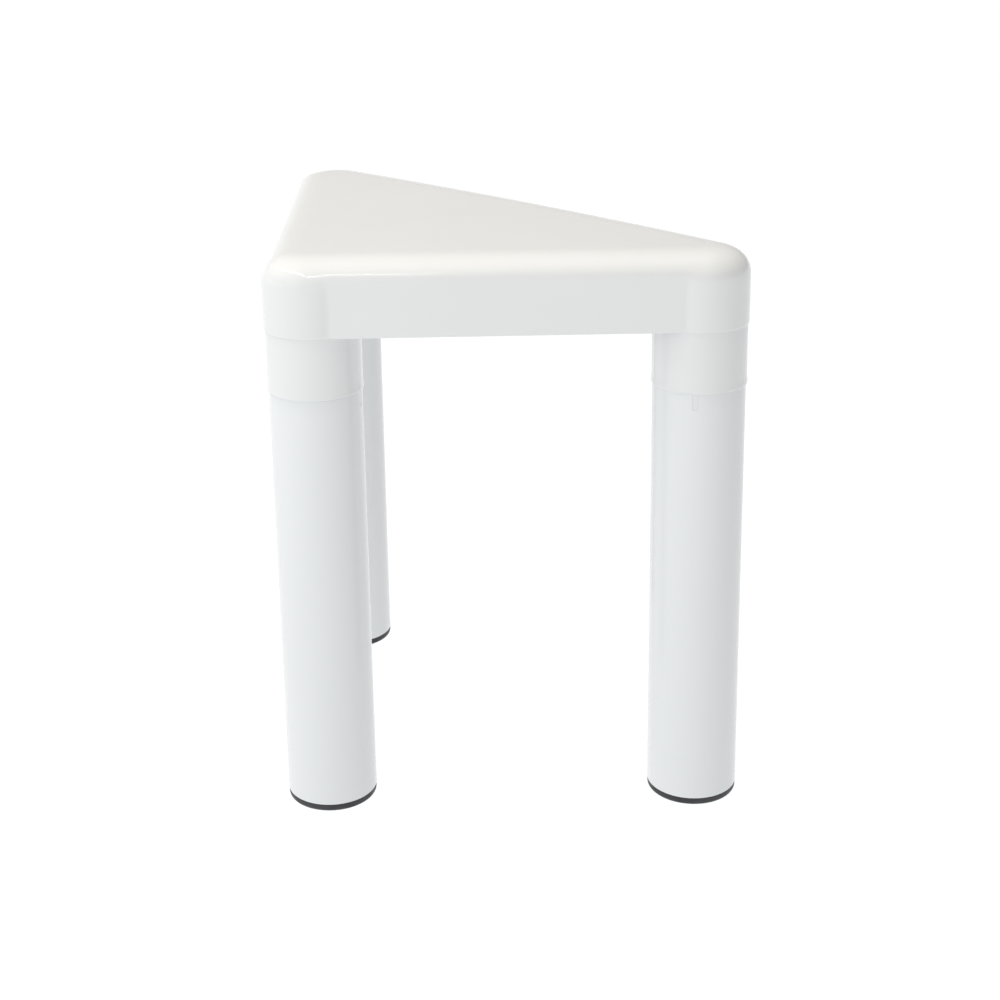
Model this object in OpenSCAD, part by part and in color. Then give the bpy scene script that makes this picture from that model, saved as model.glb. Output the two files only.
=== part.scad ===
// Corner shower stool: a three-cornered moulded seat on three push-fit tube legs.
// Millimetres, +Z up. The origin is on the floor, at the centre of the square
// footprint. The right-angled corner points to -X -Y, so the two short sides of the
// seat face -X and -Y and the long, slightly bowed side faces +X +Y.

/* [Stool] */
// Height of the top face above the floor
seat_h = 432; // [410:1:460]
// Length of each short side over its two corner posts
side_l = 350; // [340:1:380]

/* [Seat shell] */
// Height of the apron, top face included
apron_h = 56; // [54:1:64]
// Radius of the round corner posts
post_r = 35.5; // [35.5:0.1:37]
// How far the flat apron panels stand back from the posts
panel_step = 2.5; // [1.5:0.1:3]
// Round-over between the top face and the posts
top_round = 20; // [16:0.5:22]
// How far the long side bows out between its two posts
bow = 6; // [3:0.5:9]
// Thickness of the apron wall
wall_t = 3; // [2.5:0.1:3.2]
// Thickness of the top
top_t = 3.5; // [3:0.1:4.5]
// Thickness of the stiffening ribs under the top
rib_t = 2.5; // [2:0.1:3]
// Depth of the stiffening ribs under the top
rib_d = 7; // [5:0.5:8]
// Spacing of the stiffening ribs
rib_gap = 55; // [50:1:70]

/* [Sockets] */
// Height of the part of the socket that shows between the seat and the leg
collar_h = 45.5; // [35:0.5:55]
// Radius of the collar
collar_r = 34.6; // [34.3:0.1:35]
// Radius of the lip round the lower end of the collar
lip_r = 35; // [34.8:0.1:35.4]
// Height of the lip
lip_h = 4.5; // [3:0.5:8]
// Length of the spigot that the leg pushes onto
spigot_l = 50; // [40:1:60]
// Radial play of the spigot in the leg
spigot_play = 0.06; // [0.03:0.01:0.1]
// Length of the plug that goes up into the seat's post
plug_l = 29; // [24:1:32]

/* [Legs] */
// Outside radius of the leg tube
leg_r = 34; // [33:0.5:34]
// Wall of the leg tube
leg_t = 2.6; // [2.2:0.1:3]
// Width of the notch in the leg's top edge
notch_w = 4; // [3:0.5:6]
// Length of the notch
notch_l = 12; // [8:1:16]
// Heading of the notch on the leg at the right-angled corner, in degrees from +X
notch_corner = 345; // [0:1:360]
// Heading of the notch on the leg at the +X end
notch_right = 259; // [0:1:360]
// Heading of the notch on the leg at the +Y end
notch_back = 200; // [0:1:360]

/* [Feet] */
// Height of the rubber foot below the leg tube
foot_h = 6; // [5:0.5:10]
// Rounding of the foot's lower edge
foot_round = 3; // [2:0.5:4]
// Length of the foot's plug inside the leg tube
foot_plug_l = 22; // [16:1:30]

/* [Fixings] */
// Radius of the fixing screw's thread
screw_r = 3.1; // [2.8:0.1:3.3]
// Length of the fixing screw under its head
screw_l = 22; // [18:1:24]
// Radius of the washer
washer_r = 9; // [8:0.5:11]
// Thickness of the washer
washer_t = 1.6; // [1:0.2:2]

/* [Hidden] */
$fn = 96;

seat_colour = [0.93, 0.92, 0.89];
leg_colour = [0.94, 0.95, 0.96];
rubber_colour = [0.12, 0.12, 0.13];
steel_colour = [0.72, 0.73, 0.75];

// Leg axes: half their spacing, and the three places
axis_d = side_l / 2 - post_r;
corner_at = [-axis_d, -axis_d, 0];
right_at = [axis_d, -axis_d, 0];
back_at = [-axis_d, axis_d, 0];

// The long side is an arc through the right and back leg axes
half_chord = axis_d * sqrt(2);
bow_r = (half_chord * half_chord + bow * bow) / (2 * bow);
bow_centre = -(bow_r - bow) / sqrt(2);
bow_fn = 2880;

// The slab that the seat is cut from: how far it runs past its two posts, its arc, how far
// it reaches in, and how far its trims reach out from the sides and from the posts
slab_over = 45;
slab_span = 2 * asin((half_chord + slab_over) / bow_r);
slab_in = half_chord + bow + 60;
trim_out = 220;
acute_tip = 12.5;
square_tip = 15;

// Levels
apron_z = seat_h - apron_h;
seam_z = apron_z - collar_h;
plug_z = apron_z + plug_l;
ceiling_z = seat_h - top_t;
round_z = seat_h - top_round;

// Apron: its outer face, measured out from the line through two leg axes
panel_d = post_r - panel_step;
// Bevel inside the apron's upper edge
bevel = 13;
// How far the ribs are buried in the wall and the top
rib_bite = 1.5;

// Corner posts
post_bore_r = 32.2;
post_tube_r = post_r - 0.3;
rim_chamfer = 0.8;
boss_r = 7;
pilot_r = screw_r - 0.5;
pilot_top = ceiling_z - 2;

// Sockets: the plug in the post's bore, the spigot in the leg, and the key in its notch
plug_r = post_bore_r - 0.2;
plug_chamfer = 1;
lip_chamfer = 0.4;
bore_step = 4;
socket_bore_r = plug_r - 3;
floor_t = 3.5;
spigot_r = leg_r - leg_t - spigot_play;
spigot_bore_r = spigot_r - 3;
nose = 1.5;
key_w = notch_w - 0.6;
key_l = notch_l - 0.6;
key_r = leg_r - 0.8;

// Feet: the flange under the leg, the hollow plug with its two grip rings, and the tread
foot_r = leg_r - 0.2;
foot_plug_r = leg_r - leg_t - 0.2;
foot_grip_r = leg_r - leg_t + 0.2;
foot_bore_r = 26;
foot_floor = 5;
grip_levels = [6, 14];
grip_h = 2;
tread_radii = [12, 21];
tread_w = 3;
tread_depth = 1.2;

// Screws, with a cross recess in the head
head_r = 6.2;
head_h = 4.4;
head_bevel = 1.4;
recess_l = 7.2;
recess_w = 1.4;
recess_d = 2.6;
point_l = 5;
point_r = 0.4;
hole_play = 0.3;

// Sections of the seat's edge: x is the distance out from the leg-axis line, y is height.
// Each slab section reaches in under the whole seat, and its trim section is what a
// straight side cuts off outside it.
module rounded_slab() {
    translate([-slab_in, apron_z])
        square([slab_in + panel_d - top_round, apron_h]);
    translate([-slab_in, apron_z])
        square([slab_in + panel_d, apron_h - top_round]);
    translate([panel_d - top_round, round_z])
        intersection() {
            circle(top_round);
            square(top_round);
        }
}

module rounded_trim() {
    translate([panel_d, apron_z - 1])
        square([trim_out, apron_h + 2]);
    translate([panel_d - top_round, round_z])
        difference() {
            square(top_round + 1);
            circle(top_round);
        }
}

module bevelled_slab(reach, high) {
    polygon([
        [-slab_in, apron_z - 1],
        [reach, apron_z - 1],
        [reach, high - bevel],
        [reach - bevel, high],
        [-slab_in, high]
    ]);
}

module bevelled_trim(reach, high) {
    polygon([
        [reach, apron_z - 2],
        [reach, high - bevel],
        [reach - bevel - 1, high + 1],
        [reach + trim_out, high + 1],
        [reach + trim_out, apron_z - 2]
    ]);
}

// Everything beyond a post, towards a heading
module tip_trim(at, heading, distance) {
    translate(at)
        rotate(heading)
            translate([distance, -trim_out, apron_z - 2])
                cube([trim_out, 2 * trim_out, apron_h + 4]);
}

// The seat's outline between its posts: the first child, a slab section, swept along the
// bowed long side, less the second child along both straight sides and less three tips
module trimmed_slab() {
    difference() {
        translate([bow_centre, bow_centre, 0])
            rotate(45 - slab_span / 2)
                rotate_extrude(angle = slab_span, $fn = bow_fn)
                    translate([bow_r, 0])
                        children(0);
        for (flip = [[0, 0, 0], [1, -1, 0]])
            mirror(flip) {
                translate([0, -axis_d, 0])
                    rotate([90, 0, -90])
                        linear_extrude(3 * side_l, center = true)
                            children(1);
                tip_trim(right_at, -22.5, acute_tip);
            }
        tip_trim(corner_at, 225, square_tip);
    }
}

// One solid corner post with its rounded top
module post() {
    rotate_extrude() {
        polygon([
            [0, apron_z],
            [post_r - rim_chamfer, apron_z],
            [post_r, apron_z + rim_chamfer],
            [post_r, round_z],
            [0, round_z]
        ]);
        translate([0, round_z])
            square([post_r - top_round, top_round]);
        translate([post_r - top_round, round_z])
            intersection() {
                circle(top_round);
                square(top_round);
            }
    }
}

// The hollow under the seat, outside the posts
module underside() {
    difference() {
        trimmed_slab() {
            bevelled_slab(panel_d - wall_t, ceiling_z);
            bevelled_trim(panel_d - wall_t, ceiling_z);
        }
        for (p = [corner_at, right_at, back_at])
            translate(p + [0, 0, apron_z - 2])
                cylinder(h = apron_h, r = post_tube_r);
    }
}

// A grid of ribs under the top, whose ends are buried in the apron's wall
module ribs() {
    intersection() {
        for (x = [rib_gap - axis_d : rib_gap : axis_d - rib_gap + 1])
            for (flip = [[0, 0, 0], [1, -1, 0]])
                mirror(flip)
                    translate([x - rib_t / 2, -side_l / 2, ceiling_z - rib_d])
                        cube([rib_t, side_l, rib_d + 2 * rib_bite]);
        trimmed_slab() {
            bevelled_slab(panel_d - wall_t + rib_bite, ceiling_z + rib_bite);
            bevelled_trim(panel_d - wall_t + rib_bite, ceiling_z + rib_bite);
        }
    }
}

// The hollow of a post: a bore for the socket, closed by a rounded top
module post_hollow() {
    translate([0, 0, apron_z - 1])
        cylinder(h = round_z - apron_z + 1, r = post_bore_r);
    translate([0, 0, round_z])
        rotate_extrude() {
            square([post_r - top_round, top_round - top_t]);
            translate([post_r - top_round, 0])
                intersection() {
                    circle(top_round - top_t);
                    square(top_round - top_t);
                }
        }
}

// The screw boss that hangs inside a post
module post_boss() {
    translate([0, 0, plug_z])
        cylinder(h = ceiling_z + 1 - plug_z, r = boss_r);
}

module seat_shell() {
    color(seat_colour)
        difference() {
            union() {
                difference() {
                    union() {
                        trimmed_slab() {
                            rounded_slab($fn = 96);
                            rounded_trim();
                        }
                        for (p = [corner_at, right_at, back_at])
                            translate(p)
                                post();
                    }
                    underside();
                    for (p = [corner_at, right_at, back_at])
                        translate(p)
                            post_hollow();
                }
                ribs();
                for (p = [corner_at, right_at, back_at])
                    translate(p)
                        post_boss();
            }
            for (p = [corner_at, right_at, back_at])
                translate(p + [0, 0, plug_z - 1])
                    cylinder(h = pilot_top - plug_z + 1, r = pilot_r);
        }
}

// Socket: plug, visible collar with its lip, and the spigot that the leg pushes onto
module socket_body() {
    rotate_extrude()
        polygon([
            [spigot_bore_r, seam_z - spigot_l],
            [spigot_r - nose, seam_z - spigot_l],
            [spigot_r, seam_z - spigot_l + 2 * nose],
            [spigot_r, seam_z],
            [lip_r - lip_chamfer, seam_z],
            [lip_r, seam_z + lip_chamfer],
            [lip_r, seam_z + lip_h - lip_chamfer],
            [collar_r, seam_z + lip_h],
            [collar_r, apron_z],
            [plug_r, apron_z],
            [plug_r, plug_z - plug_chamfer],
            [plug_r - plug_chamfer, plug_z],
            [screw_r + hole_play, plug_z],
            [screw_r + hole_play, plug_z - floor_t],
            [socket_bore_r, plug_z - floor_t],
            [socket_bore_r, seam_z + bore_step],
            [spigot_bore_r, seam_z]
        ]);
}

// A bar with a round lower end, pointing to +X: the shape of the key and of the notch
module key_bar(width, drop, inner, outer) {
    translate([inner, -width / 2, seam_z - drop + width / 2])
        cube([outer - inner, width, drop - width / 2]);
    translate([inner, 0, seam_z - drop + width / 2])
        rotate([0, 90, 0])
            cylinder(h = outer - inner, r = width / 2);
}

module socket(at, heading) {
    color(seat_colour)
        translate(at) {
            socket_body();
            rotate(heading)
                key_bar(key_w, key_l, spigot_bore_r + 1, key_r);
        }
}

module leg_tube(at, heading) {
    color(leg_colour)
        translate(at)
            difference() {
                translate([0, 0, foot_h])
                    cylinder(h = seam_z - foot_h, r = leg_r);
                translate([0, 0, foot_h - 1])
                    cylinder(h = seam_z - foot_h + 2, r = leg_r - leg_t);
                rotate(heading)
                    translate([0, 0, 1])
                        key_bar(notch_w, notch_l + 1, leg_r - 2 * leg_t, leg_r + 1);
            }
}

module rubber_foot(at) {
    color(rubber_colour)
        translate(at)
            difference() {
                rotate_extrude() {
                    square([foot_r - foot_round, foot_h]);
                    translate([0, foot_round])
                        square([foot_r, foot_h - foot_round]);
                    translate([foot_r - foot_round, foot_round])
                        intersection() {
                            circle(foot_round);
                            translate([0, -foot_round])
                                square(foot_round);
                        }
                    square([foot_plug_r, foot_h + foot_plug_l]);
                    for (z = grip_levels)
                        translate([0, foot_h + z])
                            square([foot_grip_r, grip_h]);
                }
                translate([0, 0, foot_floor])
                    cylinder(h = foot_h + foot_plug_l, r = foot_bore_r);
                for (r = tread_radii)
                    translate([0, 0, -1])
                        difference() {
                            cylinder(h = tread_depth + 1, r = r + tread_w);
                            translate([0, 0, -1])
                                cylinder(h = tread_depth + 3, r = r);
                        }
            }
}

module fixing_screw(at) {
    under_head = plug_z - floor_t - washer_t;
    color(steel_colour)
        translate(at + [0, 0, under_head])
            difference() {
                union() {
                    translate([0, 0, -head_h])
                        cylinder(h = head_bevel, r1 = head_r - head_bevel, r2 = head_r);
                    translate([0, 0, head_bevel - head_h])
                        cylinder(h = head_h - head_bevel, r = head_r);
                    cylinder(h = screw_l - point_l, r = screw_r);
                    translate([0, 0, screw_l - point_l])
                        cylinder(h = point_l, r1 = screw_r, r2 = point_r);
                }
                for (a = [0, 90])
                    rotate(a)
                        translate([-recess_l / 2, -recess_w / 2, -head_h - 1])
                            cube([recess_l, recess_w, recess_d + 1]);
            }
}

module washer(at) {
    color(steel_colour)
        translate(at + [0, 0, plug_z - floor_t - washer_t])
            difference() {
                cylinder(h = washer_t, r = washer_r);
                translate([0, 0, -1])
                    cylinder(h = washer_t + 2, r = screw_r + hole_play);
            }
}

seat_shell();
socket(corner_at, notch_corner);  // socket_corner
socket(right_at, notch_right);  // socket_right
socket(back_at, notch_back);  // socket_back
leg_tube(corner_at, notch_corner);  // leg_tube_corner
leg_tube(right_at, notch_right);  // leg_tube_right
leg_tube(back_at, notch_back);  // leg_tube_back
rubber_foot(corner_at);  // rubber_foot_corner
rubber_foot(right_at);  // rubber_foot_right
rubber_foot(back_at);  // rubber_foot_back
fixing_screw(corner_at);  // fixing_screw_corner
fixing_screw(right_at);  // fixing_screw_right
fixing_screw(back_at);  // fixing_screw_back
washer(corner_at);  // washer_corner
washer(right_at);  // washer_right
washer(back_at);  // washer_back
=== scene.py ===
import math

import bmesh
import bpy
from mathutils import Matrix, Vector


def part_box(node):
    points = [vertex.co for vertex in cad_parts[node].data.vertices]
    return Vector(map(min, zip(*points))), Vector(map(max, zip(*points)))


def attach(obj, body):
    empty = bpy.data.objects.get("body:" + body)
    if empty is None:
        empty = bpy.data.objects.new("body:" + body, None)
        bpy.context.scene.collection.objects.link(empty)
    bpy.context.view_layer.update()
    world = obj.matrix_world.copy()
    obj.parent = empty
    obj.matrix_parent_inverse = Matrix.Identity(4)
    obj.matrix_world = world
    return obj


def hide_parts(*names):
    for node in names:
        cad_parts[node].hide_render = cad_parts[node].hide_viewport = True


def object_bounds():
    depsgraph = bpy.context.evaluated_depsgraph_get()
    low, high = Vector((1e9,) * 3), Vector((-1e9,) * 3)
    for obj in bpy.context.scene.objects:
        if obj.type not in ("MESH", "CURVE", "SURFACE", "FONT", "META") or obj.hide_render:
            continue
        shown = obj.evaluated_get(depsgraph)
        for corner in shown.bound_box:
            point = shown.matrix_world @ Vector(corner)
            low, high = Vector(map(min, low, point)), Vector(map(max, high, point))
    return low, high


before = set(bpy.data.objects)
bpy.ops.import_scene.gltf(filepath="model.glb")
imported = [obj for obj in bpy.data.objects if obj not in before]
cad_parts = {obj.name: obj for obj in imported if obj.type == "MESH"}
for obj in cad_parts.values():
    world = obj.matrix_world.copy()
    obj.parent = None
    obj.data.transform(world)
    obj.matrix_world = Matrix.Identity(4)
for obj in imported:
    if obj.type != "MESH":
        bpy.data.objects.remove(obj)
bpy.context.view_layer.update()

LEGS = ("corner", "right", "back")
MM = 0.001

# Seat sizes that the CAD boxes don't give. PANEL_D is from the leg axes out to the side panels.
POST_R = 35.5 * MM
PANEL_D = 33.0 * MM
WALL_T = 3.0 * MM
TOP_T = 3.5 * MM
TOP_ROUND = 20.0 * MM
BOW = 6.0 * MM
APRON_Z = 376.0 * MM
POST_BORE_R = 32.2 * MM
RIB_T = 2.5 * MM
RIB_D = 7.0 * MM
RIB_GAP = 55.0 * MM
RIBS_EACH_WAY = 4

# Socket and leg sizes. A heading is the way that a leg's notch points, in degrees from +X.
COLLAR_R = 34.6 * MM
LIP_R = 35.0 * MM
LIP_H = 4.5 * MM
SPIGOT_R = 31.34 * MM
SOCKET_WALL = 3.0 * MM
SCREW_HOLE_R = 3.4 * MM
LEG_WALL = 2.6 * MM
NOTCH_W = 4.0 * MM
NOTCH_L = 12.0 * MM
NOTCH_HEADING = {"corner": 345, "right": 259, "back": 200}
FIT = 0.2 * MM

# How far a cutter runs past the face that it opens, the points round a turned piece, and the
# angle between faces that shows as an edge
OVERRUN = 2.0 * MM
AROUND = 192
EDGE_ANGLE = math.radians(32)

# Places and sizes worked out from the frame
LOW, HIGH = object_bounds()
CENTRE = (LOW + HIGH) / 2
SEAT_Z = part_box("seat_shell")[1].z
ROUND_Z = SEAT_Z - TOP_ROUND
CEILING_Z = SEAT_Z - TOP_T
PLUG_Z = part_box("socket_corner")[1].z
SPIGOT_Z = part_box("socket_corner")[0].z
TUBE_LOW, TUBE_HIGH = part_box("leg_tube_corner")
SEAM_Z = TUBE_HIGH.z
LEG_R = (TUBE_HIGH.x - TUBE_LOW.x) / 2
LEG_BORE_R = LEG_R - LEG_WALL
AXIS = {}
for leg in LEGS:
    tube_low, tube_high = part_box("leg_tube_" + leg)
    AXIS[leg] = Vector(((tube_low.x + tube_high.x) / 2, (tube_low.y + tube_high.y) / 2, 0))


# ---------------------------------------------------------------- mesh helpers

def mesh_piece(name, vertices, faces):
    """A new object, with its doubled points joined and its faces turned outwards."""
    mesh = bpy.data.meshes.new(name)
    mesh.from_pydata(vertices, [], faces)
    mesh.validate()
    shell = bmesh.new()
    shell.from_mesh(mesh)
    bmesh.ops.remove_doubles(shell, verts=shell.verts, dist=1e-7)
    bmesh.ops.recalc_face_normals(shell, faces=shell.faces)
    shell.to_mesh(mesh)
    shell.free()
    piece = bpy.data.objects.new(name, mesh)
    bpy.context.scene.collection.objects.link(piece)
    return piece


def rounded(corners):
    """A path through (r, z, fillet) corners, with each corner rounded to its fillet."""
    path = []
    for i, (r, z, fillet) in enumerate(corners):
        here = Vector((r, z))
        if fillet <= 0 or i in (0, len(corners) - 1):
            path.append(here)
            continue
        to_last = Vector(corners[i - 1][:2]) - here
        to_next = Vector(corners[i + 1][:2]) - here
        half = to_last.angle(to_next) / 2
        reach = min(fillet / math.tan(half), to_last.length * 0.49, to_next.length * 0.49)
        fillet = reach * math.tan(half)
        middle = here + (to_last.normalized() + to_next.normalized()).normalized() * (
            fillet / math.sin(half))
        start = here + to_last.normalized() * reach - middle
        end = here + to_next.normalized() * reach - middle
        turn = start.angle_signed(end)
        steps = max(2, round(abs(turn) / math.radians(15)))
        for k in range(steps + 1):
            angle = -turn * k / steps
            path.append(middle + Matrix.Rotation(angle, 2) @ start)
    return path


def lathe(name, at, path, closed):
    """Turns a path of (r, z) points round a vertical axis. An open path starts and ends on the axis."""
    vertices = []
    faces = []
    for r, z in path:
        for k in range(AROUND):
            angle = math.tau * k / AROUND
            vertices.append((at.x + r * math.cos(angle), at.y + r * math.sin(angle), z))
    rows = len(path)
    for i in range(rows if closed else rows - 1):
        for k in range(AROUND):
            a = i * AROUND + k
            b = i * AROUND + (k + 1) % AROUND
            c = (i + 1) % rows * AROUND + (k + 1) % AROUND
            d = (i + 1) % rows * AROUND + k
            faces.append((a, b, c, d))
    return mesh_piece(name, vertices, faces)


def combine(piece, other, operation):
    """Applies an exact boolean of other to piece, and removes other."""
    cut = piece.modifiers.new("combine", "BOOLEAN")
    cut.operation = operation
    cut.object = other
    cut.solver = "EXACT"
    bpy.context.view_layer.update()
    result = bpy.data.meshes.new_from_object(
        piece.evaluated_get(bpy.context.evaluated_depsgraph_get()))
    piece.modifiers.clear()
    piece.data = result
    bpy.data.objects.remove(other)
    return piece


def prism(name, near_end, far_end):
    """A solid between two outlines that have the same number of points."""
    n = len(near_end)
    faces = [tuple(range(n)), tuple(range(2 * n - 1, n - 1, -1))]
    for k in range(n):
        faces.append((k, (k + 1) % n, n + (k + 1) % n, n + k))
    return mesh_piece(name, near_end + far_end, faces)


def box_piece(name, low, high, chamfer=0.0):
    """A box; a chamfer cuts back its two long lower edges along X or Y, whichever is longer."""
    along_x = high[0] - low[0] > high[1] - low[1]
    side = 1 if along_x else 0
    section = [
        (low[side], low[2] + chamfer), (low[side] + chamfer, low[2]),
        (high[side] - chamfer, low[2]), (high[side], low[2] + chamfer),
        (high[side], high[2]), (low[side], high[2])]
    ends = []
    for end in (low[1 - side], high[1 - side]):
        ends.append([(end, across, z) if along_x else (across, end, z) for across, z in section])
    return prism(name, *ends)


def key_bar(name, at, heading, width, drop, inner, outer, top):
    """A bar with a round lower end, pointing along a heading: the shape of a notch and its key."""
    steps = 24
    radius = width / 2
    outline = [(radius, top), (-radius, top)]
    for k in range(steps + 1):
        angle = math.pi + math.pi * k / steps
        outline.append((radius * math.cos(angle), SEAM_Z - drop + radius + radius * math.sin(angle)))
    turn = Matrix.Rotation(math.radians(heading), 3, "Z")
    ends = []
    for reach in (inner, outer):
        ends.append([turn @ Vector((reach, across, z)) + at for across, z in outline])
    return prism(name, *ends)


def finish_piece(piece, body, slot, material, *nodes):
    """Smooths a piece, gives it its material, ties it to its body, and hides the CAD nodes it replaces.
    """
    piece.data.shade_smooth()
    piece.data.set_sharp_from_angle(angle=EDGE_ANGLE)
    piece.data.materials.clear()
    piece.data.materials.append(material)
    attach(piece, body)
    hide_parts(*nodes)


# ---------------------------------------------------------------- seat shell

def smooth_max(a, b, k):
    """The larger of two values, eased where they come within k of each other."""
    h = max(k - abs(a - b), 0.0) / k
    return max(a, b) + h * h * k / 4


def smooth_step(low, high, value):
    """0 at low and 1 at high, with a soft start and end. High may be the smaller one."""
    t = min(max((value - low) / (high - low), 0.0), 1.0)
    return t * t * (3 - 2 * t)


def side_steps(length):
    """Distances along a side: close together near the posts, wide apart in the middle."""
    crease_start = 9
    on_post = [k * MM for k in range(crease_start)]
    at_crease = [(crease_start + k / 2) * MM for k in range(17)]
    near = on_post + at_crease + [19 * MM, 22 * MM]
    middle = [length * t for t in (0.12, 0.17, 0.23, 0.3, 0.38, 0.46)]
    half = near + [d for d in middle if d > near[-1] + 2 * MM]
    return half + [length - d for d in reversed(half)]


def seat_outline():
    """Round the seat, anticlockwise: a point on the line through the leg axes, the outward
    normal there, and the distance along the side to the nearer post."""
    post_step = math.radians(3)
    corner, right, back = (AXIS[leg].to_2d() for leg in LEGS)
    half_chord = (right - back).length / 2
    bow_r = (half_chord ** 2 + BOW ** 2) / (2 * BOW)
    bow_middle = (right + back) / 2 - Vector((1, 1)).normalized() * (bow_r - BOW)
    start = math.atan2(right.y - bow_middle.y, right.x - bow_middle.x)
    end = math.atan2(back.y - bow_middle.y, back.x - bow_middle.x)
    points = []

    def straight(a, b, normal):
        length = (b - a).length
        for s in side_steps(length):
            points.append((a + (b - a) * (s / length), normal, min(s, length - s)))

    def turn_round(at, a, b):
        steps = max(1, round((b - a) / post_step))
        for k in range(1, steps):
            angle = a + (b - a) * k / steps
            points.append((at, Vector((math.cos(angle), math.sin(angle))), 0.0))

    straight(corner, right, Vector((0, -1)))
    turn_round(right, -math.pi / 2, start)
    arc_length = bow_r * (end - start)
    for s in side_steps(arc_length):
        angle = start + s / bow_r
        normal = Vector((math.cos(angle), math.sin(angle)))
        points.append((bow_middle + normal * bow_r, normal, min(s, arc_length - s)))
    turn_round(back, end, math.pi)
    straight(back, corner, Vector((-1, 0)))
    turn_round(corner, math.pi, math.pi * 1.5)
    return points


def stacked_rings(name, rings):
    """Closes rings of equal counts, bottom one first, into one solid with a flat face at both ends."""
    n = len(rings[0])
    vertices = [point for ring in rings for point in ring]
    faces = []
    for i in range(len(rings) - 1):
        for k in range(n):
            a = i * n + k
            b = i * n + (k + 1) % n
            faces.append((a, b, b + n, a + n))
    last = (len(rings) - 1) * n
    faces.append(tuple(range(n - 1, -1, -1)))
    faces.append(tuple(range(last, last + n)))
    return mesh_piece(name, vertices, faces)


def edge_distance(to_post, z):
    """How far the seat's outer face stands from the line through the leg axes.

    A side panel is set back from its posts, and the step fades out in the round-over."""
    crease = 0.9 * MM
    fade_low = ROUND_Z - 8 * MM
    fade_high = ROUND_Z + 14 * MM
    post = math.sqrt(max(POST_R ** 2 - to_post ** 2, 0.0))
    stepped = smooth_max(post, PANEL_D, crease)
    return POST_R + (stepped - POST_R) * smooth_step(fade_high, fade_low, z)


def seat_skin():
    """The seat's outside as a solid: its sides, its squarish round-over and its flat top."""
    outline = seat_outline()
    lower_round = 1.0 * MM
    flat_reach = 1.0 * MM
    shoulder = 3.2
    lower_steps = 6
    side_rows = 8
    levels = []
    for k in range(lower_steps + 1):
        angle = math.pi / 2 * k / lower_steps
        levels.append((APRON_Z + lower_round * (1 - math.cos(angle)), 1.0,
                       -lower_round * (1 - math.sin(angle))))
    side_low = APRON_Z + lower_round
    for k in range(1, side_rows + 1):
        levels.append((side_low + (ROUND_Z - side_low) * k / side_rows, 1.0, 0.0))
    for degrees in list(range(3, 84, 3)) + [83.5, 85.5, 87, 88, 89, 89.6, 90]:
        angle = math.radians(degrees)
        share = max(math.cos(angle), 0.0) ** (2 / shoulder)
        levels.append((ROUND_Z + TOP_ROUND * math.sin(angle), share, 0.0))
    rings = []
    for z, share, inset in levels:
        ring = []
        for at, normal, to_post in outline:
            reach = flat_reach + (edge_distance(to_post, z) - flat_reach) * share + inset
            spot = at + normal * reach
            ring.append((spot.x, spot.y, z))
        rings.append(ring)
    return stacked_rings("seat_skin", rings)


def underside_hollow():
    """What is hollow under the seat, outside its posts and between its ribs."""
    outline = seat_outline()
    reach = PANEL_D - WALL_T
    inner_flat = POST_R - TOP_ROUND
    flare = 0.8 * MM
    post_overlap = 0.3 * MM
    rib_bevel = 0.6 * MM
    rib_reach = 0.2
    round_steps = 12
    levels = [(APRON_Z - OVERRUN, reach + flare), (APRON_Z, reach + flare), (APRON_Z + flare, reach)]
    for k in range(round_steps + 1):
        angle = math.pi / 2 * k / round_steps
        levels.append((ROUND_Z + (CEILING_Z - ROUND_Z) * math.sin(angle),
                       inner_flat + (reach - inner_flat) * math.cos(angle)))
    rings = [[((at + normal * d).x, (at + normal * d).y, z) for at, normal, _ in outline]
             for z, d in levels]
    hollow = stacked_rings("underside_hollow", rings)
    post_r = POST_R - post_overlap
    post_low = APRON_Z - 2 * OVERRUN
    for leg in LEGS:
        post = lathe("post", AXIS[leg], [
            (0, post_low), (post_r, post_low), (post_r, SEAT_Z), (0, SEAT_Z)], False)
        combine(hollow, post, "DIFFERENCE")
    rib_low = CEILING_Z - RIB_D
    rib_high = SEAT_Z + MM
    for k in range(1, RIBS_EACH_WAY + 1):
        at = AXIS["corner"].x + RIB_GAP * k
        near = at - RIB_T / 2
        far = at + RIB_T / 2
        along_y = box_piece("rib", (near, -rib_reach, rib_low), (far, rib_reach, rib_high), rib_bevel)
        combine(hollow, along_y, "DIFFERENCE")
        along_x = box_piece("rib", (-rib_reach, near, rib_low), (rib_reach, far, rib_high), rib_bevel)
        combine(hollow, along_x, "DIFFERENCE")
    return hollow


def post_hollow(leg):
    """A post's bore with its rounded top, round the screw boss and its pilot hole."""
    top_r = POST_R - TOP_ROUND
    flare = 0.6 * MM
    mouth_r = POST_BORE_R + flare
    boss_r = 7 * MM
    pilot_r = 2.6 * MM
    pilot_z = CEILING_Z - 2 * MM
    round_steps = 12
    path = [(0, APRON_Z - OVERRUN), (mouth_r, APRON_Z - OVERRUN), (mouth_r, APRON_Z),
            (POST_BORE_R, APRON_Z + flare)]
    for k in range(round_steps + 1):
        angle = math.pi / 2 * k / round_steps
        path.append((top_r + (POST_BORE_R - top_r) * math.cos(angle),
                     ROUND_Z + (CEILING_Z - ROUND_Z) * math.sin(angle)))
    boss = rounded([
        (top_r, CEILING_Z, 0), (boss_r, CEILING_Z, 2 * MM), (boss_r, PLUG_Z, 0.5 * MM),
        (pilot_r, PLUG_Z, 0.4 * MM), (pilot_r, pilot_z, 0.3 * MM), (0, pilot_z, 0)])
    path += [tuple(point) for point in boss[1:]]
    return lathe("post_hollow", AXIS[leg], path, False)


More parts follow.
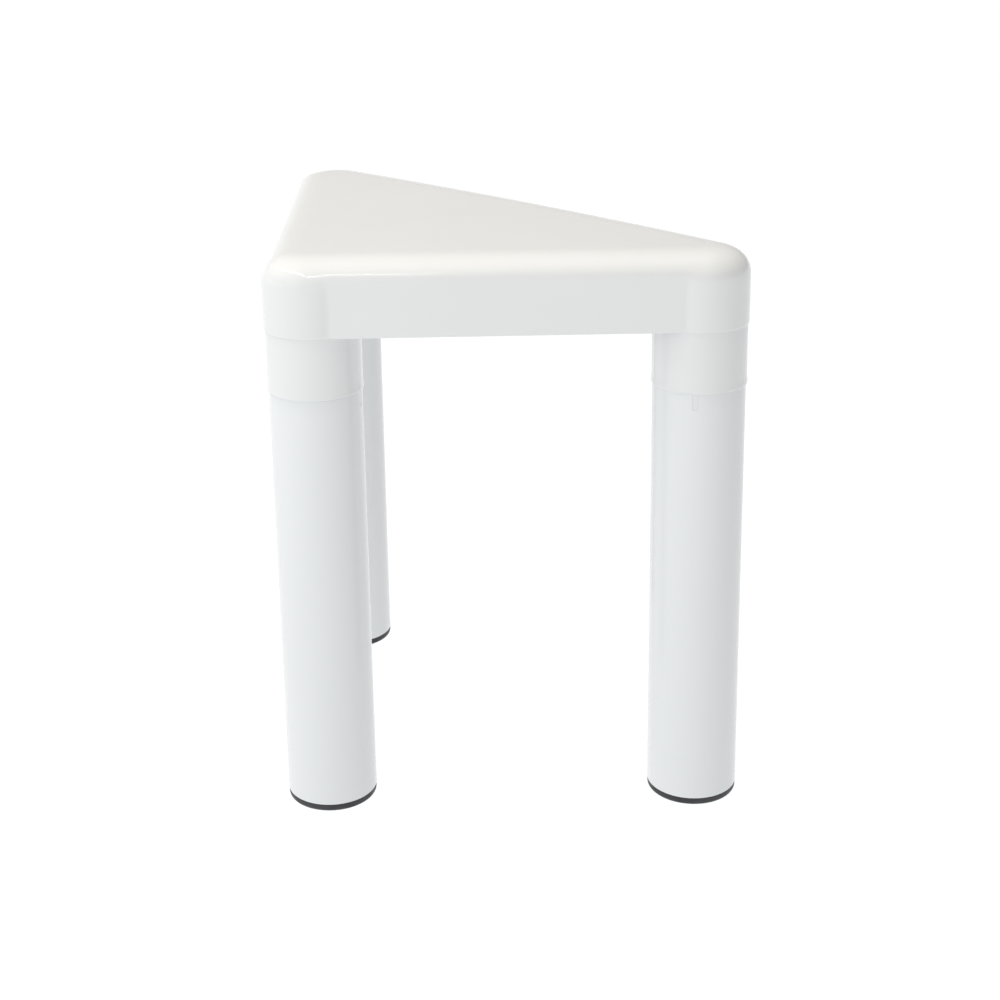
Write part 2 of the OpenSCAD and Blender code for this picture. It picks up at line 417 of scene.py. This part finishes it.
def make_seat(material):
    """The seat shell: one moulding with four hollows under it."""
    seat = seat_skin()
    combine(seat, underside_hollow(), "DIFFERENCE")
    for leg in LEGS:
        combine(seat, post_hollow(leg), "DIFFERENCE")
    finish_piece(seat, "seat", "seat_plastic", material, "seat_shell")


# ---------------------------------------------------------------- sockets, legs and feet

def make_socket(leg, material):
    """A plug with a holed floor, the collar with its lip, the spigot, and the key in the notch."""
    spigot_bore = SPIGOT_R - SOCKET_WALL
    spigot_taper = 3 * MM
    plug_r = POST_BORE_R - FIT
    plug_bore = plug_r - SOCKET_WALL
    floor_t = 3.5 * MM
    floor_z = PLUG_Z - floor_t
    floor_middle = (PLUG_Z + floor_z) / 2
    bore_step = 4 * MM
    key_gap = 0.12 * MM
    key_sunk = 0.15 * MM
    path = rounded([
        (SCREW_HOLE_R, floor_middle, 0), (SCREW_HOLE_R, floor_z, 0.4 * MM),
        (plug_bore, floor_z, 2 * MM), (plug_bore, SEAM_Z + bore_step, 1 * MM),
        (spigot_bore, SEAM_Z, 1 * MM), (spigot_bore, SPIGOT_Z, 0.6 * MM),
        (SPIGOT_R - spigot_taper / 2, SPIGOT_Z, 0.6 * MM),
        (SPIGOT_R, SPIGOT_Z + spigot_taper, 3 * MM),
        (SPIGOT_R, SEAM_Z, 0.1 * MM), (LIP_R, SEAM_Z, 0.6 * MM),
        (LIP_R, SEAM_Z + LIP_H * 0.45, 3 * MM), (COLLAR_R, SEAM_Z + LIP_H * 1.2, 3 * MM),
        (COLLAR_R, APRON_Z, 0.15 * MM), (plug_r, APRON_Z, 0.1 * MM),
        (plug_r, PLUG_Z, 1 * MM), (SCREW_HOLE_R, PLUG_Z, 0.4 * MM),
        (SCREW_HOLE_R, floor_middle, 0)])
    socket = lathe("socket_body_" + leg, AXIS[leg], path[:-1], True)
    key = key_bar("key", AXIS[leg], NOTCH_HEADING[leg], NOTCH_W - key_gap, NOTCH_L - key_gap,
                  spigot_bore + MM, LEG_R - key_sunk, SEAM_Z + MM)
    combine(socket, key, "UNION")
    finish_piece(socket, "seat", "socket_plastic", material, "socket_" + leg)


def make_leg(leg, material):
    """A tube with rounded ends and a notch in its top edge."""
    low = TUBE_LOW.z
    middle = (low + SEAM_Z) / 2
    path = rounded([
        (LEG_BORE_R, middle, 0), (LEG_BORE_R, low, 0.5 * MM), (LEG_R, low, 0.6 * MM),
        (LEG_R, SEAM_Z, 0.6 * MM), (LEG_BORE_R, SEAM_Z, 0.5 * MM), (LEG_BORE_R, middle, 0)])
    tube = lathe("tube_" + leg, AXIS[leg], path[:-1], True)
    notch = key_bar("notch", AXIS[leg], NOTCH_HEADING[leg], NOTCH_W, NOTCH_L,
                    LEG_BORE_R - 3 * MM, LEG_R + MM, SEAM_Z + OVERRUN)
    combine(tube, notch, "DIFFERENCE")
    finish_piece(tube, leg + "_leg", "leg_plastic", material, "leg_tube_" + leg)


def make_foot(leg, material):
    """A hollow rubber plug with two grip rings, a flange under the tube, and a ringed tread."""
    flange_r = LEG_R - FIT
    plug_r = LEG_BORE_R - FIT
    grip_r = LEG_BORE_R + FIT
    grip_levels = (6 * MM, 14 * MM)
    grip_h = 2 * MM
    tread_radii = (12 * MM, 21 * MM)
    tread_w = 3 * MM
    flange_z = TUBE_LOW.z
    plug_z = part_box("rubber_foot_" + leg)[1].z
    bore_r = 26 * MM
    floor_z = 5 * MM
    groove = 1.2 * MM
    corners = [(0, 0, 0)]
    for inner in tread_radii:
        outer = inner + tread_w
        corners += [(inner, 0, 0.3 * MM), (inner, groove, 0.3 * MM),
                    (outer, groove, 0.3 * MM), (outer, 0, 0.3 * MM)]
    corners += [(flange_r, 0, 3 * MM), (flange_r, flange_z, 0.5 * MM), (plug_r, flange_z, 0.3 * MM)]
    for level in grip_levels:
        z = flange_z + level
        corners += [(plug_r, z, 0.1 * MM), (grip_r, z, 0.1 * MM),
                    (grip_r, z + grip_h, 0.1 * MM), (plug_r, z + grip_h, 0.1 * MM)]
    corners += [(plug_r, plug_z, 1 * MM), (bore_r, plug_z, 1 * MM), (bore_r, floor_z, 1.5 * MM),
                (0, floor_z, 0)]
    foot = lathe("foot_" + leg, AXIS[leg], [tuple(point) for point in rounded(corners)], False)
    finish_piece(foot, leg + "_leg", "foot_rubber", material, "rubber_foot_" + leg)


# ---------------------------------------------------------------- fixings

def make_screw(leg, material):
    """A pan-head screw with a rolled thread and a cross recess."""
    low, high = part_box("fixing_screw_" + leg)
    head_z = low.z + 4.4 * MM
    head_r = 6.2 * MM
    crown_r = 3.6 * MM
    crown_h = 2.2 * MM
    crown_steps = 8
    head_edge = 0.3 * MM
    thread_r = 3.1 * MM
    core_r = 2.3 * MM
    pitch = 1.8 * MM
    point_l = 5 * MM
    blunt = 0.12
    around = 36
    rows_per_turn = 10
    levels = [(low.z, 0.0, 0), (low.z, crown_r, 0)]
    for k in range(1, crown_steps + 1):
        angle = math.pi / 2 * k / crown_steps
        levels.append((low.z + crown_h * (1 - math.cos(angle)),
                       crown_r + (head_r - crown_r) * math.sin(angle), 0))
    levels += [(head_z - head_edge, head_r, 0), (head_z, head_r - head_edge, 0), (head_z, core_r, 0)]
    steps = round((high.z - head_z) / pitch * rows_per_turn)
    for k in range(1, steps):
        z = head_z + (high.z - head_z) * k / steps
        taper = min(1.0, max(blunt, (high.z - z) / point_l))
        start = smooth_step(0, pitch, z - head_z)
        levels.append((z, core_r * taper, (thread_r - core_r) * taper * start))
    levels.append((high.z, 0.0, 0))
    vertices = []
    faces = []
    for z, radius, rise in levels:
        for k in range(around):
            angle = math.tau * k / around
            phase = ((z - head_z) / pitch - k / around) % 1.0
            crest = max(0.0, 1 - abs(phase - 0.5) * 4) if rise else 0.0
            r = radius + rise * crest
            vertices.append((AXIS[leg].x + r * math.cos(angle),
                             AXIS[leg].y + r * math.sin(angle), z))
    for i in range(len(levels) - 1):
        for k in range(around):
            a = i * around + k
            b = i * around + (k + 1) % around
            faces.append((a, b, b + around, a + around))
    screw = mesh_piece("screw_" + leg, vertices, faces)
    arm = 3.6 * MM
    half = 0.7 * MM
    depth = 2.6 * MM
    for x, y in ((arm, half), (half, arm)):
        slot = box_piece("recess", AXIS[leg] + Vector((-x, -y, low.z - MM)),
                         AXIS[leg] + Vector((x, y, low.z + depth)))
        combine(screw, slot, "DIFFERENCE")
    finish_piece(screw, "seat", "stainless", material, "fixing_screw_" + leg)


def make_washer(leg, material):
    """A flat ring with rounded edges."""
    low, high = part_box("washer_" + leg)
    outer = (high.x - low.x) / 2
    hole = SCREW_HOLE_R
    middle = (low.z + high.z) / 2
    path = rounded([
        (hole, middle, 0), (hole, low.z, 0.25 * MM), (outer, low.z, 0.4 * MM),
        (outer, high.z, 0.4 * MM), (hole, high.z, 0.25 * MM), (hole, middle, 0)])
    washer = lathe("ring_washer_" + leg, AXIS[leg], path[:-1], True)
    finish_piece(washer, "seat", "stainless", material, "washer_" + leg)


# ---------------------------------------------------------------- materials

class Nodes:
    """A short way to write a material's nodes."""

    def __init__(self, name):
        self.material = bpy.data.materials.new(name)
        self.material.use_nodes = True
        self.tree = self.material.node_tree
        self.shader = self.tree.nodes["Principled BSDF"]
        self.place = self.tree.nodes.new("ShaderNodeTexCoord").outputs["Object"]

    def add(self, kind, inputs=None, **settings):
        """A new node, with its inputs linked or set."""
        node = self.tree.nodes.new(kind)
        for key, value in settings.items():
            setattr(node, key, value)
        for key, value in (inputs or {}).items():
            if isinstance(value, bpy.types.NodeSocket):
                self.tree.links.new(value, node.inputs[key])
            else:
                node.inputs[key].default_value = value
        return node

    def noise(self, scale, detail=2.0, rough=0.5, stretch=(1, 1, 1)):
        """A noise over the piece, drawn out along an axis where stretch is below 1."""
        moved = self.add("ShaderNodeMapping", {"Vector": self.place, "Scale": stretch})
        noise = self.add("ShaderNodeTexNoise", {
            "Vector": moved.outputs[0], "Scale": scale, "Detail": detail, "Roughness": rough})
        return noise.outputs[0]

    def spread(self, value, low, high, to_low, to_high):
        """Maps a value from one range to another."""
        node = self.add("ShaderNodeMapRange", {
            "Value": value, "From Min": low, "From Max": high, "To Min": to_low, "To Max": to_high})
        return node.outputs[0]

    def sum(self, a, b):
        return self.add("ShaderNodeMath", {0: a, 1: b}, operation="ADD").outputs[0]

    def mix(self, factor, a, b):
        """A colour between two colours."""
        node = self.add("ShaderNodeMix", data_type="RGBA")
        self.tree.links.new(factor, node.inputs[0])
        node.inputs[6].default_value = (*a, 1)
        node.inputs[7].default_value = (*b, 1)
        return node.outputs[2]

    def bump(self, height, distance, strength, normal=None):
        """A bump, on top of another bump where one is given."""
        inputs = {"Height": height, "Distance": distance, "Strength": strength}
        if normal is not None:
            inputs["Normal"] = normal
        return self.add("ShaderNodeBump", inputs).outputs[0]

    def set(self, **values):
        """Links or sets the shader's inputs, and gives back the material."""
        for key, value in values.items():
            socket = self.shader.inputs[key.replace("_", " ")]
            if isinstance(value, bpy.types.NodeSocket):
                self.tree.links.new(value, socket)
            else:
                socket.default_value = value
        return self.material


def gloss_plastic(name, tone, warm_tone, rough):
    """Smooth moulded plastic: slow colour drift, hazy patches, faint scuffs, waves and grain."""
    n = Nodes(name)
    colour = n.mix(n.spread(n.noise(9, 3), 0.35, 0.65, 0, 1), tone, warm_tone)
    haze = n.spread(n.noise(24, 5, 0.6), 0.3, 0.7, rough * 0.85, rough * 1.25)
    scuffs = n.spread(n.noise(240, 2, 0.5, (1, 0.06, 1)), 0.62, 0.75, 0, 0.015)
    waves = n.bump(n.noise(38, 1), 0.0004, 0.07)
    skin = n.bump(n.noise(900, 2), 0.00004, 0.25, waves)
    return n.set(Base_Color=colour, Roughness=n.sum(haze, scuffs), Normal=skin, IOR=1.49,
                 Coat_Weight=0.25, Coat_Roughness=0.06)


def drawn_plastic(name, tone, cool_tone, rough):
    """Extruded pipe: fine die lines along the tube, and a slow waviness."""
    n = Nodes(name)
    colour = n.mix(n.spread(n.noise(11, 3, 0.5, (1, 1, 0.3)), 0.35, 0.65, 0, 1), tone, cool_tone)
    haze = n.spread(n.noise(30, 4, 0.6, (1, 1, 0.2)), 0.3, 0.7, rough * 0.85, rough * 1.25)
    lines = n.bump(n.noise(1500, 1, 0.5, (1, 1, 0.004)), 0.00004, 0.3)
    waves = n.bump(n.noise(26, 1), 0.0005, 0.12, lines)
    scuffs = n.spread(n.noise(180, 2, 0.5, (1, 1, 0.15)), 0.64, 0.76, 0, 0.015)
    return n.set(Base_Color=colour, Roughness=n.sum(haze, scuffs), Normal=waves, IOR=1.53,
                 Coat_Weight=0.2, Coat_Roughness=0.08)


def rubber():
    """Black rubber with a fine grain and a patchy sheen."""
    n = Nodes("foot_rubber")
    colour = n.mix(n.spread(n.noise(60, 4), 0.3, 0.7, 0, 1),
                   (0.018, 0.018, 0.02), (0.045, 0.045, 0.048))
    roughness = n.spread(n.noise(140, 4, 0.6), 0.3, 0.7, 0.42, 0.62)
    grain = n.bump(n.noise(1400, 3, 0.6), 0.00012, 0.6)
    return n.set(Base_Color=colour, Roughness=roughness, Normal=grain, IOR=1.52)


def stainless():
    """Steel with a fine drawn grain."""
    n = Nodes("stainless")
    colour = n.mix(n.spread(n.noise(90, 3), 0.3, 0.7, 0, 1), (0.52, 0.53, 0.54), (0.66, 0.67, 0.68))
    roughness = n.spread(n.noise(500, 3, 0.6, (1, 0.2, 1)), 0.3, 0.7, 0.2, 0.38)
    grain = n.bump(n.noise(1800, 2, 0.5, (1, 0.1, 1)), 0.00003, 0.5)
    return n.set(Base_Color=colour, Roughness=roughness, Normal=grain, Metallic=1.0)


# ---------------------------------------------------------------- studio

def make_floor():
    """A plain floor, pale enough to leave no horizon."""
    side = 40
    bpy.ops.mesh.primitive_plane_add(size=side, location=(0, 0, LOW.z))
    floor = bpy.context.object
    floor.name = "studio_floor"
    n = Nodes("pale_floor")
    n.set(Base_Color=(0.08, 0.08, 0.08, 1), Roughness=0.9, Emission_Color=(0.97, 0.985, 1, 1),
          Emission_Strength=1.01)
    n.shader.inputs["Specular IOR Level"].default_value = 0.0
    floor.data.materials.append(n.material)


def make_world():
    """A room that is pale at the horizon, dimmer above, and brighter on the left."""
    horizon_colour = (0.97, 0.99, 1, 1)
    upper_colour = (1, 0.97, 0.92, 1)
    world = bpy.data.worlds.new("studio")
    world.use_nodes = True
    tree = world.node_tree

    def ramp(value, low, high, to_low, to_high):
        node = tree.nodes.new("ShaderNodeMapRange")
        node.interpolation_type = "SMOOTHSTEP"
        for socket, number in zip(node.inputs[1:5], (low, high, to_low, to_high)):
            socket.default_value = number
        tree.links.new(value, node.inputs[0])
        return node.outputs[0]

    place = tree.nodes.new("ShaderNodeTexCoord")
    split = tree.nodes.new("ShaderNodeSeparateXYZ")
    tree.links.new(place.outputs["Generated"], split.inputs[0])
    height = ramp(split.outputs["Z"], 0.03, 0.2, 1.0, 0.62)
    side = ramp(split.outputs["X"], -0.9, 0.9, 1.02, 0.46)
    strength = tree.nodes.new("ShaderNodeMath")
    strength.operation = "MULTIPLY"
    tree.links.new(height, strength.inputs[0])
    tree.links.new(side, strength.inputs[1])
    background = tree.nodes["Background"]
    warmth = tree.nodes.new("ShaderNodeMix")
    warmth.data_type = "RGBA"
    tree.links.new(ramp(split.outputs["Z"], 0.2, 0.7, 0, 1), warmth.inputs[0])
    warmth.inputs[6].default_value = horizon_colour
    warmth.inputs[7].default_value = upper_colour
    tree.links.new(warmth.outputs[2], background.inputs["Color"])
    tree.links.new(strength.outputs[0], background.inputs["Strength"])
    bpy.context.scene.world = world
    bpy.context.scene.view_settings.view_transform = "Standard"


def area_light(name, size, power):
    """A rectangle of light, still at the origin."""
    data = bpy.data.lights.new(name, "AREA")
    data.shape = "RECTANGLE"
    data.size, data.size_y = size
    data.energy = power
    light = bpy.data.objects.new(name, data)
    bpy.context.scene.collection.objects.link(light)
    return light


def soft_light(name, offset, size, power, colour):
    """A panel of light that faces the stool's middle and isn't seen in reflections."""
    light = area_light(name, size, power)
    light.data.color = colour
    light.location = CENTRE + Vector(offset)
    light.rotation_euler = (-Vector(offset)).to_track_quat("-Z", "Y").to_euler()
    light.visible_glossy = False


def strip_light(name, start, end, width, power):
    """A long thin light between two offsets from the stool's middle, which it faces."""
    along = Vector(end) - Vector(start)
    light = area_light(name, (along.length, width), power)
    along.normalize()
    middle = (Vector(start) + Vector(end)) / 2
    back = middle - along * middle.dot(along)
    back.normalize()
    turn = Matrix((along, back.cross(along), back)).transposed()
    light.matrix_world = Matrix.Translation(CENTRE + middle) @ turn.to_4x4()


def make_camera():
    """A camera in front of the stool that looks down on it, turned by yaw, pitch and roll."""
    offset = Vector((-0.0239, -1.411, 0.5304))
    yaw = math.radians(0.07)
    pitch = math.radians(17.19)
    roll = math.radians(0.98)
    ahead = Vector((math.sin(yaw) * math.cos(pitch), math.cos(yaw) * math.cos(pitch),
                    -math.sin(pitch)))
    aside = Vector((math.cos(yaw), -math.sin(yaw), 0))
    down = ahead.cross(aside)
    right = aside * math.cos(roll) + down * math.sin(roll)
    up = aside * math.sin(roll) - down * math.cos(roll)
    data = bpy.data.cameras.new("camera")
    data.lens = 66.16
    data.sensor_width = 36
    data.shift_x = 0.0239
    data.shift_y = -0.1456
    camera = bpy.data.objects.new("camera", data)
    turn = Matrix((right, up, -ahead)).transposed()
    camera.matrix_world = Matrix.Translation(CENTRE + offset) @ turn.to_4x4()
    bpy.context.scene.collection.objects.link(camera)
    bpy.context.scene.camera = camera


make_camera()
make_world()
make_floor()
soft_light("key_panel", (-0.25, 0.1, 2.1), (1.6, 1.6), 28, (1, 0.955, 0.9))
soft_light("side_fill", (-0.75, -1.0, 0.5), (0.5, 0.5), 2.2, (0.93, 0.975, 1))
strip_light("ceiling_tube", (-0.12, -1.9, 2.0), (-1.75, 0.2, 2.1), 0.06, 8)

seat_plastic = gloss_plastic("seat_plastic", (0.79, 0.795, 0.79), (0.78, 0.785, 0.775), 0.13)
socket_plastic = gloss_plastic("socket_plastic", (0.79, 0.795, 0.795), (0.78, 0.785, 0.78), 0.16)
leg_plastic = drawn_plastic("leg_plastic", (0.79, 0.80, 0.805), (0.78, 0.79, 0.795), 0.2)
foot_rubber = rubber()
steel = stainless()

make_seat(seat_plastic)
for leg in LEGS:
    make_socket(leg, socket_plastic)
    make_leg(leg, leg_plastic)
    make_foot(leg, foot_rubber)
    make_screw(leg, steel)
    make_washer(leg, steel)
